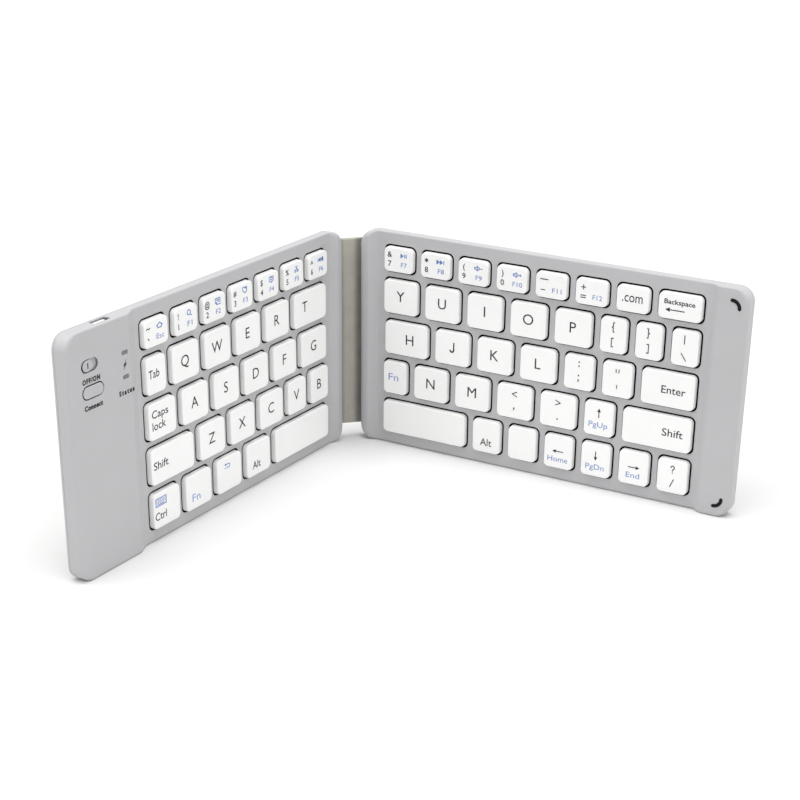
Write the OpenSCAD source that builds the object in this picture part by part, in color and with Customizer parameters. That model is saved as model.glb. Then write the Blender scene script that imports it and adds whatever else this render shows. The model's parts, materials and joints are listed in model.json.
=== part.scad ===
// Folding keyboard in two halves on a leather spine.
// It stands on its long front edge, opened in a V towards -Y.
// Millimetres, +Z up along the key columns, +X along the spine.

/* [Halves] */
// Width of the right half's raised end, from its last key to its outer edge
end_w = 18.1;  // [17:0.1:20]
// Thickness of the key area, leather included
thin_t = 4.8;  // [4.7:0.1:5]
// Thickness of the raised outer end, where the two halves meet when shut
ridge_t = 6.9;  // [6.8:0.1:7.4]
// Radius of the two outer corners, seen from the front
outer_corner_r = 5.5;  // [4:0.5:7]
// Radius of the two corners by the hinge
hinge_corner_r = 6.5;  // [5:0.5:7]
// Skin thickness of the key frame
skin = 1.2;  // [1:0.1:1.3]
// Thickness of the bottom cover, leather recess included
cover_t = 1.6;  // [1.5:0.1:1.6]
// Rounding of the bottom cover's edges
back_r = 0.9;  // [0.4:0.1:1.2]

/* [Fold] */
// Turn of each half away from lying flat
fold_angle = 44;  // [20:1:60]
// Height of the rubber bumpers above the raised end
bumper_h = 0.4;  // [0.3:0.1:0.6]
// Gap from the fold line to the hinge edge of each half
fold_gap = 0.8;  // [0.8:0.1:1.5]

/* [Keys] */
// Width of a letter key
letter_w = 14.6;  // [14.2:0.1:14.8]
// Width of a number key
number_w = 12.5;  // [12.2:0.1:12.6]
// Width of a narrow key, such as the arrows
narrow_w = 11.8;  // [11.4:0.1:12]
// Width of the smallest keys
small_w = 10.3;  // [9.8:0.1:10.6]
// Width of the wide H key
wide_w = 18.7;  // [18.4:0.1:19.4]
// Width of the backspace key
backspace_w = 16.3;  // [15.4:0.1:16.6]
// Height of a key in the four lower rows
key_h = 13.25;  // [13:0.05:13.5]
// Height of a key in the number row
number_h = 9.6;  // [9.2:0.1:10]
// Web between two keys of one row
gap_x = 3.4;  // [3.3:0.1:3.6]
// Web between two rows
gap_y = 3.1;  // [3:0.1:3.4]
// Frame between the keys and the hinge edge
hinge_margin = 11.1;  // [10.5:0.1:11.4]
// Frame above and below the keys
edge_margin = 5.2;  // [5:0.1:5.8]
// Extra frame between the hinge edge and the T and G keys
t_step = 1;  // [0:0.1:1.5]
// Extra frame between the hinge edge and the H key
h_step = 0.6;  // [0:0.1:1.5]
// Corner radius of a key
key_r = 1.8;  // [1:0.1:2.2]
// Rounding of a key's upper edges
key_bevel = 0.4;  // [0.3:0.1:0.6]
// Height of the keys above the frame
key_proud = 1.8;  // [1.6:0.1:1.9]
// Travel of a key
key_travel = 1.2;  // [0.8:0.1:1.2]
// Gap round each key in its window
key_clear = 0.6;  // [0.4:0.1:0.7]

/* [Leather] */
// Thickness of the leather on the back
leather_t = 0.6;  // [0.5:0.1:0.7]
// Thickness of the spine's lining
lining_t = 0.3;  // [0.2:0.1:0.3]
// Bare edge between the leather and the upper and lower edges
leather_inset = 4.7;  // [3:0.1:6]

/* [Controls] */
// Power switch below the upper edge
switch_drop = 11.8;  // [10.5:0.1:14]
// Connect button below the power switch
control_pitch = 8.8;  // [8:0.1:10]
// Outer ends of both controls, from the half's outer edge
control_inset = 6.5;  // [5.5:0.1:7.5]
// Length of the connect button
connect_l = 9.6;  // [8:0.1:10]
// Height of both controls
control_h = 4;  // [3.6:0.1:4.2]
// Length of the power switch's slot
slot_l = 7.8;  // [7.6:0.1:8.4]
// Length of the power switch's knob
knob_l = 5.3;  // [5:0.1:5.4]
// Centre of the charging socket, from the half's outer edge
socket_inset = 19.8;  // [18:0.1:22]
// Centres of the status lights, from the half's outer edge
light_inset = 27.4;  // [26:0.1:28]

/* [Hidden] */
eps = 0.01;
curve = 24;

// The rows, named from the hinge edge outwards: 0 stands for a key
// that takes an equal share of what its row leaves.
left_widths = [
    [for (i = [0:6]) number_w],
    [0, letter_w, letter_w, letter_w, letter_w, small_w],
    [0, letter_w, letter_w, letter_w, letter_w, letter_w],
    [narrow_w, narrow_w, letter_w, letter_w, letter_w, 0],
    [0, letter_w, letter_w, letter_w, letter_w]
];
right_widths = [
    [for (i = [0:7]) i < 7 ? number_w : backspace_w],
    [letter_w, letter_w, letter_w, letter_w, letter_w, 0, 0, 0],
    [wide_w, letter_w, letter_w, letter_w, narrow_w, narrow_w, 0],
    [small_w, letter_w, letter_w, letter_w, letter_w, narrow_w, 0],
    [0, for (i = [0:5]) narrow_w]
];
left_names = [
    [for (i = [0:6]) "left_number_row"],
    ["key_t", "key_r", "key_e", "key_w", "key_q", "key_tab"],
    ["key_g", "key_f", "key_d", "key_s", "key_a", "key_caps_lock"],
    ["key_b", "key_v", "key_c", "key_x", "key_z", "key_left_shift"],
    ["key_left_space", for (i = [0:3]) "left_modifiers"]
];
right_names = [
    [for (i = [0:7]) i < 7 ? "right_number_row" : "key_backspace"],
    ["key_y", "key_u", "key_i", "key_o", "key_p", for (i = [0:2]) "punctuation_keys"],
    ["key_h", "key_j", "key_k", "key_l", "punctuation_keys", "punctuation_keys", "key_enter"],
    ["right_modifiers", "key_n", "key_m", "punctuation_keys", "punctuation_keys",
        "arrow_keys", "key_right_shift"],
    ["key_right_space", "right_modifiers", "right_modifiers", "arrow_keys", "arrow_keys",
        "arrow_keys", "punctuation_keys"]
];

function total(list, i = 0) = i < len(list) ? list[i] + total(list, i + 1) : 0;
function count_zero(list) = len([for (w = list) if (w == 0) w]);
function flat(rows) = [for (row = rows) for (item = row) item];
function first_only(list) =
    [for (i = [0:len(list) - 1]) if (search([list[i]], list)[0] == i) list[i]];

half_h = 2 * edge_margin + 4 * (key_h + gap_y) + number_h;
left_block = total(left_widths[0]) + 6 * gap_x;
right_block = total(right_widths[0]) + 7 * gap_x;
left_end = hinge_margin + left_block;
right_end = hinge_margin + right_block;
half_w = right_end + end_w;

left_steps = [0, t_step, t_step, 0, 0];
right_steps = [0, 0, h_step, 0, 0];

// One row's real widths, and each key's start from the hinge edge
function row_widths(row, block) =
    let (spare = (block - total(row) - (len(row) - 1) * gap_x) / max(1, count_zero(row)))
    [for (w = row) w == 0 ? spare : w];
function row_start(widths, i) =
    hinge_margin + (i > 0 ? total([for (k = [0:i - 1]) widths[k] + gap_x]) : 0);
function row_bottom(r) = edge_margin + (4 - r) * (key_h + gap_y);
function row_height(r) = r == 0 ? number_h : key_h;

// Slope from the key area up to the raised end
left_clear = 2.3;
left_run = 6.1;
right_clear = 2.9;
right_run = 4.3;
left_slope = [left_end + left_clear, left_end + left_clear + left_run];
right_slope = [right_end + right_clear, right_end + right_clear + right_run];

// Edge forms of the frame: a rounded bead along the hinge edge stands as high as
// the raised end, and slopes down to the key area
bead_run = 3;
bead_drop = 1.4;
bead_land = 4;
bead_end = 7.8;
bead_wall = 3.2;
end_r = 1.1;
wall = 1.5;

// Fold lines lie in the middle of the leather
spine_w = 2 * ridge_t + bumper_h - leather_t;
fold_depth = leather_t / 2;
cable_t = 0.12;

// Layers in the key area, as depths from the back
plate_start = hinge_margin - 5.5;
plate_top = cover_t + 0.3;
sheet_top = plate_top + 0.3;
cap_top = thin_t + key_proud;
cap_skirt = cap_top - 2.05;
cap_ceiling = cap_top - 0.9;
dome_top = cap_ceiling - 1.55;

// Controls
control_end = half_w - control_inset;
switch_u = control_end - slot_l / 2;
switch_z = half_h - switch_drop;
connect_u = control_end - connect_l / 2;
connect_z = switch_z - control_pitch;
light_u = half_w - light_inset;
light_l = 3;
light_h = 1.4;
light_zs = [switch_z - 0.5, connect_z];
knob_clear = 0.1;
button_clear = 0.15;
flange = 0.4;

// Inside the left half's raised end
left_bay = left_slope[1] + skin / 2;
bay_clear = 0.5;
bay_end = half_w - wall - 1.8;
board_t = 0.8;
board_low = connect_z - 11.8;
chip_w = 6;
chip_t = 1;
driver_l = 4;
driver_h = 3;
contact_l = 7;
contact_h = 3.4;
cell_t = 3.2;
tab_t = 0.6;
tab_h = 4;
socket_u = half_w - socket_inset;
socket_w = 7.6;
socket_t = 2.7;
socket_d = 5.2;
socket_sheet = 0.3;
socket_depth = cover_t + board_t + socket_t / 2;

// Bumpers, from the right half's outer corners
bumper_inset = 7.5;
bumper_r = 2.8;
bumper_w = 1.3;
bumper_seat = 0.6;

// The whole part is moved so that its box is centred on the origin
function turned_y(p) = -p[0] * sin(fold_angle) + (p[1] + fold_depth) * cos(fold_angle);
front_y = min([for (p = frame_outline(left_slope)) turned_y([p[0] + fold_gap, p[1]])]) - fold_depth;
shift_y = -front_y / 2;

base_nodes = [
    "left_bottom_cover", "left_top_frame", "left_leather", "left_base_plate",
    "left_dome_sheet", "battery", "control_board", "charging_socket", "status_lights",
    "power_switch", "connect_button", "right_bottom_cover", "right_top_frame",
    "right_leather", "right_base_plate", "right_dome_sheet", "rubber_bumpers",
    "spine_leather", "spine_lining", "flex_cable"
];
left_keys = first_only(flat(left_names));
right_keys = first_only(flat(right_names));

shell_colour = [0.74, 0.74, 0.75];
key_colour = [0.96, 0.96, 0.96];
leather_colour = [0.58, 0.56, 0.52];
steel_colour = [0.7, 0.71, 0.73];
rubber_colour = [0.1, 0.1, 0.1];

// Places a half, drawn with its hinge edge on x = 0 and its back on y = 0
module right_place() {
    translate([spine_w / 2, shift_y - fold_depth, 0])
        rotate([0, 0, -fold_angle])
            translate([fold_gap, fold_depth, 0])
                children();
}

module left_place() {
    mirror([1, 0, 0])
        right_place()
            children();
}

// A flat shape drawn in x and z, thick from one depth to another
module slab(from, to) {
    translate([0, -from, 0])
        rotate([90, 0, 0])
            linear_extrude(to - from)
                children();
}

module round_rect(w, h, r) {
    union() {
        translate([r, 0])
            square([w - 2 * r, h]);
        translate([0, r])
            square([w, h - 2 * r]);
        for (x = [r, w - r], y = [r, h - r])
            translate([x, y])
                circle(r, $fn = curve);
    }
}

module pill(l, h) {
    square([l - h, h], center = true);
    for (side = [-1, 1])
        translate([side * (l - h) / 2, 0])
            circle(d = h, $fn = 2 * curve);
}

// The half seen from the front: small corners by the hinge, larger ones outside
module half_plan(inset = 0) {
    translate([inset, inset])
        round_rect(half_w / 2, half_h - 2 * inset, hinge_corner_r - inset);
    translate([half_w / 4, inset])
        round_rect(3 * half_w / 4 - inset, half_h - 2 * inset, outer_corner_r - inset);
}

function arc(cx, cy, rx, ry, from, to, n = 6) =
    [for (i = [0:n]) let (a = from + (to - from) * i / n) [cx + rx * cos(a), cy + ry * sin(a)]];

// Side outline of the frame: a bead by the hinge, and the raised outer end
function frame_outline(slope) = concat(
    [[0, -cover_t]],
    arc(bead_run, -ridge_t + bead_drop, bead_run, bead_drop, 180, 270),
    [[bead_land, -ridge_t], [bead_end, -thin_t]],
    [[slope[0], -thin_t], [slope[1], -ridge_t]],
    arc(half_w - end_r, -ridge_t + end_r, end_r, end_r, 270, 360, 4),
    [[half_w, -cover_t]]
);

function frame_hollow(slope) = [
    [bead_wall, -cover_t + eps],
    [bead_wall, -ridge_t + skin],
    [bead_land - 0.5, -ridge_t + skin],
    [bead_end - 0.5, -thin_t + skin],
    [slope[0] + 0.6, -thin_t + skin],
    [slope[1] + 0.6, -ridge_t + skin],
    [half_w - wall, -ridge_t + skin],
    [half_w - wall, -cover_t + eps]
];

// Runs its children once for each key with the given name, or for every key
module each_key(widths, names, block, steps, name = "") {
    for (r = [0:4]) {
        real = row_widths(widths[r], block - steps[r]);
        for (i = [0:len(real) - 1])
            if (name == "" || names[r][i] == name)
                translate([steps[r] + row_start(real, i), 0, row_bottom(r)]) {
                    $w = real[i];
                    $h = row_height(r);
                    children();
                }
    }
}

// Side outline of a cap across one of its widths: drafted sides, a rounded
// upper edge and, across its width only, a shallow dish for the finger
function cap_outline(size, dish) =
    let (draft = 0.1, r = key_bevel, from = draft + r)
    concat(
        [[-eps, -cap_skirt + eps]],
        arc(from, -cap_top + r, r, r, 180, 270, 3),
        dish == 0 ? [] : [for (i = [1:5]) let (t = i / 6)
            [from + t * (size - 2 * from), -cap_top + 4 * dish * t * (1 - t)]],
        arc(size - from, -cap_top + r, r, r, 270, 360, 3),
        [[size + eps, -cap_skirt + eps]]
    );

// A key cap: a hollow rounded box with a post for its dome
module key_cap() {
    rim = 1.4;
    post = 2.4;
    difference() {
        intersection() {
            slab(cap_skirt, cap_top + eps)
                round_rect($w, $h, key_r);
            linear_extrude($h)
                polygon(cap_outline($w, 0.12));
            rotate([0, -90, 0])
                mirror([0, 0, 1])
                    linear_extrude($w)
                        polygon(cap_outline($h, 0));
        }
        slab(cap_skirt - 1, cap_ceiling)
            translate([rim, rim])
                square([$w - 2 * rim, $h - 2 * rim]);
    }
    slab(dome_top, cap_ceiling + eps)
        translate([$w / 2, $h / 2])
            circle(d = post, $fn = curve);
}

module keys(widths, names, block, steps, name) {
    color(key_colour)
        each_key(widths, names, block, steps, name)
            key_cap();
}

module key_windows(widths, names, block, steps) {
    each_key(widths, names, block, steps)
        slab(thin_t - skin - 1, thin_t + 1)
            translate([-key_clear, -key_clear])
                round_rect($w + 2 * key_clear, $h + 2 * key_clear, key_r + 0.4);
}

module frame_shell(slope) {
    difference() {
        intersection() {
            linear_extrude(half_h)
                polygon(frame_outline(slope));
            slab(cover_t, ridge_t + 1)
                half_plan();
        }
        translate([0, 0, wall])
            linear_extrude(half_h - 2 * wall)
                polygon(frame_hollow(slope));
    }
}

// Side outline of a cover across one of its widths, rounded at the back
function back_outline(size) = concat(
    arc(back_r - eps, -back_r + eps, back_r, back_r, 180, 90, 4),
    arc(size - back_r + eps, -back_r + eps, back_r, back_r, 90, 0, 4),
    [[size + eps, -cover_t - eps], [-eps, -cover_t - eps]]
);

// The cover closes the back and holds the leather in a shallow recess
module bottom_cover(end) {
    rib = 0.5;
    difference() {
        intersection() {
            slab(0, cover_t)
                half_plan();
            linear_extrude(half_h)
                polygon(back_outline(half_w));
            rotate([0, -90, 0])
                mirror([0, 0, 1])
                    linear_extrude(half_w)
                        polygon(back_outline(half_h));
        }
        slab(-1, leather_t)
            translate([-1, leather_inset])
                square([half_w - leather_inset + 1, half_h - 2 * leather_inset]);
    }
    // locating ribs inside the frame's walls
    for (z = [wall + 0.2, half_h - wall - 0.2 - rib])
        translate([plate_start + 5, -cover_t - 1, z])
            cube([end - plate_start - 9, 1 + eps, rib]);
}

module leather_sheet() {
    r = 2;
    slab(0, leather_t)
        difference() {
            translate([0, leather_inset + 0.1])
                square([half_w - leather_inset - 0.1, half_h - 2 * leather_inset - 0.2]);
            translate([half_w - leather_inset - 0.1 - r, 0])
                square([r + 1, leather_inset + 0.1 + r]);
            translate([half_w - leather_inset - 0.1 - r, half_h - leather_inset - 0.1 - r])
                square([r + 1, leather_inset + r]);
        }
    for (z = [leather_inset + 0.1 + r, half_h - leather_inset - 0.1 - r])
        slab(0, leather_t)
            translate([half_w - leather_inset - 0.1 - r, z])
                circle(r, $fn = curve);
}

// Steel plate under the keys, with a relief slot under each row's web
module base_plate(block) {
    slab(cover_t, plate_top)
        difference() {
            translate([plate_start, wall + 1])
                round_rect(block + hinge_margin + 1 - plate_start, half_h - 2 * wall - 2, 1.5);
            for (r = [0:3])
                for (k = [0:3])
                    translate([hinge_margin + (k + 0.1) * block / 4, row_bottom(r) - gap_y / 2 - 0.6])
                        round_rect(0.8 * block / 4, 1.2, 0.55);
        }
}

// Rubber sheet with one dome under each key
module dome_sheet(widths, names, block, steps) {
    slab(plate_top, sheet_top)
        translate([plate_start, wall + 1])
            round_rect(block + hinge_margin + 1 - plate_start, half_h - 2 * wall - 2, 1.5);
    each_key(widths, names, block, steps)
        translate([$w / 2, -sheet_top + eps, $h / 2])
            rotate([90, 0, 0])
                cylinder(dome_top - sheet_top, r1 = 2.6, r2 = 1.4, $fn = curve);
}

module left_bottom_cover() {
    color(shell_colour)
        left_place()
            bottom_cover(left_end);
}

module left_top_frame() {
    color(shell_colour)
        left_place()
            difference() {
                frame_shell(left_slope);
                key_windows(left_widths, left_names, left_block, left_steps);
                slab(ridge_t - skin - 1, ridge_t + 1) {
                    translate([switch_u, switch_z])
                        pill(slot_l, control_h + 2 * knob_clear);
                    translate([connect_u, connect_z])
                        pill(connect_l + 2 * button_clear, control_h + 2 * button_clear);
                    for (z = light_zs)
                        translate([light_u - light_l / 2, z - light_h / 2])
                            round_rect(light_l, light_h, 0.4);
                }
                slab(socket_depth - socket_t / 2 - 0.15, socket_depth + socket_t / 2 + 0.15)
                    translate([socket_u - socket_w / 2 - 0.15, half_h - wall - 1])
                        square([socket_w + 0.3, wall + 2]);
            }
}

module left_leather() {
    color(leather_colour)
        left_place()
            leather_sheet();
}

module left_base_plate() {
    color(steel_colour)
        left_place()
            base_plate(left_block);
}

module left_dome_sheet() {
    color(rubber_colour)
        left_place()
            dome_sheet(left_widths, left_names, left_block, left_steps);
}

// Flat cell with its folded seal and its tab
module battery() {
    low = wall + 4.5;
    high = board_low - tab_h - 1;
    edge = 3 * bay_clear;
    color([0.62, 0.65, 0.68])
        left_place() {
            slab(cover_t, cover_t + cell_t)
                translate([left_bay + edge, low])
                    round_rect(bay_end - left_bay - edge, high - low, 1.2);
            slab(cover_t, cover_t + tab_t)
                translate([left_bay + 2 * edge, high - 1])
                    square([bay_end - left_bay - 3 * edge, tab_h]);
        }
}

// Board behind the controls, with its chips and the two small switches
module control_board() {
    board_top = cover_t + board_t;
    color([0.13, 0.36, 0.22])
        left_place() {
            slab(cover_t, board_top)
                translate([left_bay + bay_clear, board_low])
                    round_rect(bay_end - left_bay - bay_clear, half_h - wall - 1 - board_low, 1);
            slab(board_top, board_top + chip_t)
                translate([(left_bay + bay_end) / 2 - chip_w / 2, board_low + 1])
                    square([chip_w, chip_w]);
            slab(board_top, board_top + 0.8 * chip_t)
                translate([left_bay + driver_l / 2, board_low + 2])
                    square([driver_l, driver_h]);
            for (place = [[switch_u, switch_z], [connect_u, connect_z]])
                slab(board_top, ridge_t - skin - flange - 0.9)
                    translate(place)
                        square([contact_l, contact_h], center = true);
        }
}

// Charging socket: a folded steel shell with its contact tongue
module charging_socket() {
    back = half_h - socket_d;
    color(steel_colour)
        left_place() {
            difference() {
                slab(socket_depth - socket_t / 2, socket_depth + socket_t / 2)
                    translate([socket_u - socket_w / 2, back - 0.2])
                        square([socket_w, socket_d]);
                slab(socket_depth - socket_t / 2 + socket_sheet, socket_depth + socket_t / 2 - socket_sheet)
                    translate([socket_u - socket_w / 2 + socket_sheet, back + 0.6])
                        square([socket_w - 2 * socket_sheet, socket_d]);
            }
            slab(socket_depth - 0.25, socket_depth + 0.35)
                translate([socket_u - socket_w / 4, back + 0.6 - eps])
                    square([socket_w / 2, 0.6 * socket_d]);
        }
}

module status_lights() {
    color([0.55, 0.57, 0.6])
        left_place()
            for (z = light_zs)
                slab(ridge_t - skin - 0.6, ridge_t - 0.1)
                    translate([light_u - light_l / 2 + 0.1, z - light_h / 2 + 0.1])
                        round_rect(light_l - 0.2, light_h - 0.2, 0.35);
}

// Knob of the slide switch, flanged inside and ribbed for the thumb
module power_switch() {
    color(shell_colour)
        left_place()
            translate([control_end - knob_clear - knob_l / 2, 0, switch_z]) {
                slab(ridge_t - skin - 0.1, ridge_t - 0.1)
                    pill(knob_l, control_h);
                slab(ridge_t - skin - 0.1 - flange, ridge_t - skin - 0.1 + eps)
                    square([knob_l + 0.6, control_h + 2 * flange], center = true);
                for (x = [-0.5, 0.5])
                    slab(ridge_t - 0.1 - eps, ridge_t + 0.1)
                        translate([x - 0.2, -control_h / 4])
                            square([0.4, control_h / 2]);
            }
}

module connect_button() {
    color(shell_colour)
        left_place()
            translate([connect_u, 0, connect_z]) {
                slab(ridge_t - skin - 0.2, ridge_t + 0.15)
                    pill(connect_l, control_h);
                slab(ridge_t - skin - 0.2 - flange, ridge_t - skin - 0.2 + eps)
                    square([connect_l + 2 * flange, control_h + 2 * flange], center = true);
            }
}

module right_bottom_cover() {
    color(shell_colour)
        right_place()
            bottom_cover(right_end);
}

module right_top_frame() {
    color(shell_colour)
        right_place()
            difference() {
                frame_shell(right_slope);
                key_windows(right_widths, right_names, right_block, right_steps);
                bumper_places()
                    slab(ridge_t - bumper_seat, ridge_t + 1)
                        bumper_shape(0.05);
            }
}

module right_leather() {
    color(leather_colour)
        right_place()
            leather_sheet();
}

module right_base_plate() {
    color(steel_colour)
        right_place()
            base_plate(right_block);
}

module right_dome_sheet() {
    color(rubber_colour)
        right_place()
            dome_sheet(right_widths, right_names, right_block, right_steps);
}

// A quarter ring with round ends
module bumper_shape(clear) {
    w = bumper_w + 2 * clear;
    intersection() {
        difference() {
            circle(bumper_r + w / 2, $fn = 2 * curve);
            circle(bumper_r - w / 2, $fn = 2 * curve);
        }
        square(bumper_r + w);
    }
    for (place = [[bumper_r, 0], [0, bumper_r]])
        translate(place)
            circle(d = w, $fn = curve);
}

module bumper_places() {
    translate([half_w - bumper_inset, 0, half_h - bumper_inset + 0.5])
        children();
    translate([half_w - bumper_inset, 0, bumper_inset - 0.5])
        mirror([0, 0, 1])
            children();
}

module rubber_bumpers() {
    color(rubber_colour)
        right_place()
            bumper_places()
                slab(ridge_t - bumper_seat, ridge_t + bumper_h - 0.05)
                    bumper_shape(0);
}

// The spine stands between the fold lines, a little clear of them
module spine_layer(from, to, w, inset) {
    translate([-w / 2, shift_y, inset])
        slab(from, to)
            square([w, half_h - 2 * inset]);
}

module spine_leather() {
    color(leather_colour)
        spine_layer(0, leather_t, spine_w - 0.2, leather_inset);
}

module spine_lining() {
    color(leather_colour)
        spine_layer(leather_t + cable_t, leather_t + cable_t + lining_t, spine_w - 2, leather_inset);
}

// Flat cable between the leather and its lining
module flex_cable() {
    color([0.8, 0.55, 0.25])
        spine_layer(leather_t, leather_t + cable_t, spine_w - 1, half_h / 2 - 8);
}

left_bottom_cover();
left_top_frame();
left_leather();
left_base_plate();
left_dome_sheet();
battery();
control_board();
charging_socket();
status_lights();
power_switch();
connect_button();
right_bottom_cover();
right_top_frame();
right_leather();
right_base_plate();
right_dome_sheet();
rubber_bumpers();
spine_leather();
spine_lining();
flex_cable();
for (name = left_keys)
    left_place()
            keys(left_widths, left_names, left_block, left_steps, name);
for (name = right_keys)
    right_place()
            keys(right_widths, right_names, right_block, right_steps, name);
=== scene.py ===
import json
import math

import bmesh
import bpy
import numpy as np
from mathutils import Matrix, Vector
from mathutils.geometry import delaunay_2d_cdt

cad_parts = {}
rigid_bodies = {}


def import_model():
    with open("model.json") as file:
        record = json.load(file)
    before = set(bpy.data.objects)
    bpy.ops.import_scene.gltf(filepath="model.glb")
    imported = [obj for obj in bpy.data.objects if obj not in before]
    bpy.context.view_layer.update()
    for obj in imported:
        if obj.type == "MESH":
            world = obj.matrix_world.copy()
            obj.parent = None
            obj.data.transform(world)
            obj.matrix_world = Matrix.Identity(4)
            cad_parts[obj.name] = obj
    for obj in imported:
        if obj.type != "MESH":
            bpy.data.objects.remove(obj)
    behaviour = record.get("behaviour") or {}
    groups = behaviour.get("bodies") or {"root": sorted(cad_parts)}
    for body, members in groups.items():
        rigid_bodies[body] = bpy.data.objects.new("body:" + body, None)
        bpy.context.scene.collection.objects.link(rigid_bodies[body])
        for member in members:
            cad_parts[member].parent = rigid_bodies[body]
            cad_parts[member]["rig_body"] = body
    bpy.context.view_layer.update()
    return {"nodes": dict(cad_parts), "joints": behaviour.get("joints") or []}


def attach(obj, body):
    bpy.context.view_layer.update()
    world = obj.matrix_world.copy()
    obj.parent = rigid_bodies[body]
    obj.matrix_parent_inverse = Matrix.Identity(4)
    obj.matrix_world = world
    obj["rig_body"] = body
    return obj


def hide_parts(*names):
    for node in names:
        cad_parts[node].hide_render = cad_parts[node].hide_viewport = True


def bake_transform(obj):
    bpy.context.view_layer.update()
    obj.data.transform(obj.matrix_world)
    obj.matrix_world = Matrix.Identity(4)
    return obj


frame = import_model()
joints = {joint["name"]: joint for joint in frame["joints"]}

# Each half is worked out lying flat, in millimetres: u from its hinge edge outwards, z up and
# d forwards from its back. side is 1 for the right half and -1 for the left one.
mm = 0.001
halves = ((1, "right"), (-1, "left"))
fold = {
    "angle": math.radians(joints["right_fold"]["range_deg"][1]),  # turn of each half from lying flat
    "lineX": joints["right_fold"]["pos_m"][0] / mm,
    "lineY": joints["right_fold"]["pos_m"][1] / mm,
    "gap": 0.8,  # from fold line to hinge edge
    "depth": 0.3,  # of the fold line, mid leather
}
quarter = math.pi / 2
roundTurns = np.linspace(0, quarter, 7)  # of a rounded edge


def place(points, side):
    # Turns (u, z, d) in millimetres about the fold line into (x, y, z) in metres
    u, z, d = np.asarray(points, float).T
    c, s = math.cos(fold["angle"]), math.sin(fold["angle"])
    along, back = u + fold["gap"], fold["depth"] - d
    x = fold["lineX"] + along * c + back * s
    y = fold["lineY"] - along * s + back * c
    return np.stack([side * x, y, z], axis=1) * mm


def flatten(points, side):
    # The way back from place()
    x, y, z = (np.asarray(points, float) / mm).T
    c, s = math.cos(fold["angle"]), math.sin(fold["angle"])
    x, y = side * x - fold["lineX"], y - fold["lineY"]
    return np.stack([x * c - y * s - fold["gap"], z, fold["depth"] - x * s - y * c], axis=1)


def meshTriangles(mesh):
    # Its points, and for each triangle the numbers of its three points
    mesh.calc_loop_triangles()
    corners = np.empty(len(mesh.loop_triangles) * 3, int)
    mesh.loop_triangles.foreach_get("vertices", corners)
    points = np.empty(len(mesh.vertices) * 3)
    mesh.vertices.foreach_get("co", points)
    return points.reshape(-1, 3), corners.reshape(-1, 3)


def nodeTriangles(node, side):
    # Corners of a CAD node's triangles in flat coordinates, as (triangles, 3, 3)
    points, triangles = meshTriangles(frame["nodes"][node].data)
    return flatten(points, side)[triangles]


def stretches(low, high, gap=1.0):
    # Merges overlapping intervals low..high and gives where each merged stretch starts and ends
    order = np.argsort(low)
    low, reach = low[order], np.maximum.accumulate(high[order])
    breaks = np.flatnonzero(low[1:] > reach[:-1] + gap)
    return list(zip(low[np.r_[0, breaks + 1]], reach[np.r_[breaks, len(reach) - 1]]))


def keyBoxes(node, side, slack=0.1):
    # (u0, u1, z0, z1) of each cap in a key node, upper row first, in reading order
    triangles = nodeTriangles(node, side)
    low, high = triangles.min(axis=1), triangles.max(axis=1)
    boxes = []
    for z0, z1 in reversed(stretches(low[:, 1], high[:, 1])):
        row = (low[:, 1] > z0 - slack) & (high[:, 1] < z1 + slack)
        spans = stretches(low[row, 0], high[row, 0])
        boxes += [(u0, u1, z0, z1) for u0, u1 in spans[::side]]
    return boxes


def keyNodes(side):
    # A key node rides a body of its own name, as only the two controls do besides
    return [name for name, node in frame["nodes"].items()
            if node["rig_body"] == name and name not in ("power_switch", "connect_button")
            and (node.data.vertices[0].co.x > 0) == (side > 0)]


keys = {node: (side, keyBoxes(node, side)) for side, name in halves for node in keyNodes(side)}
keyEnd = {half: max(box[1] for side, boxes in keys.values() if side == half for box in boxes)
          for half, name in halves}
halfWidth, halfHeight = nodeTriangles("right_top_frame", 1).reshape(-1, 3).max(axis=0)[:2]
print("halves", round(halfWidth, 2), "x", round(halfHeight, 2), "mm,",
      sum(len(boxes) for side, boxes in keys.values()), "keys")


# Materials. A look gives its colour, its roughness and what else differs from the plain one

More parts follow.
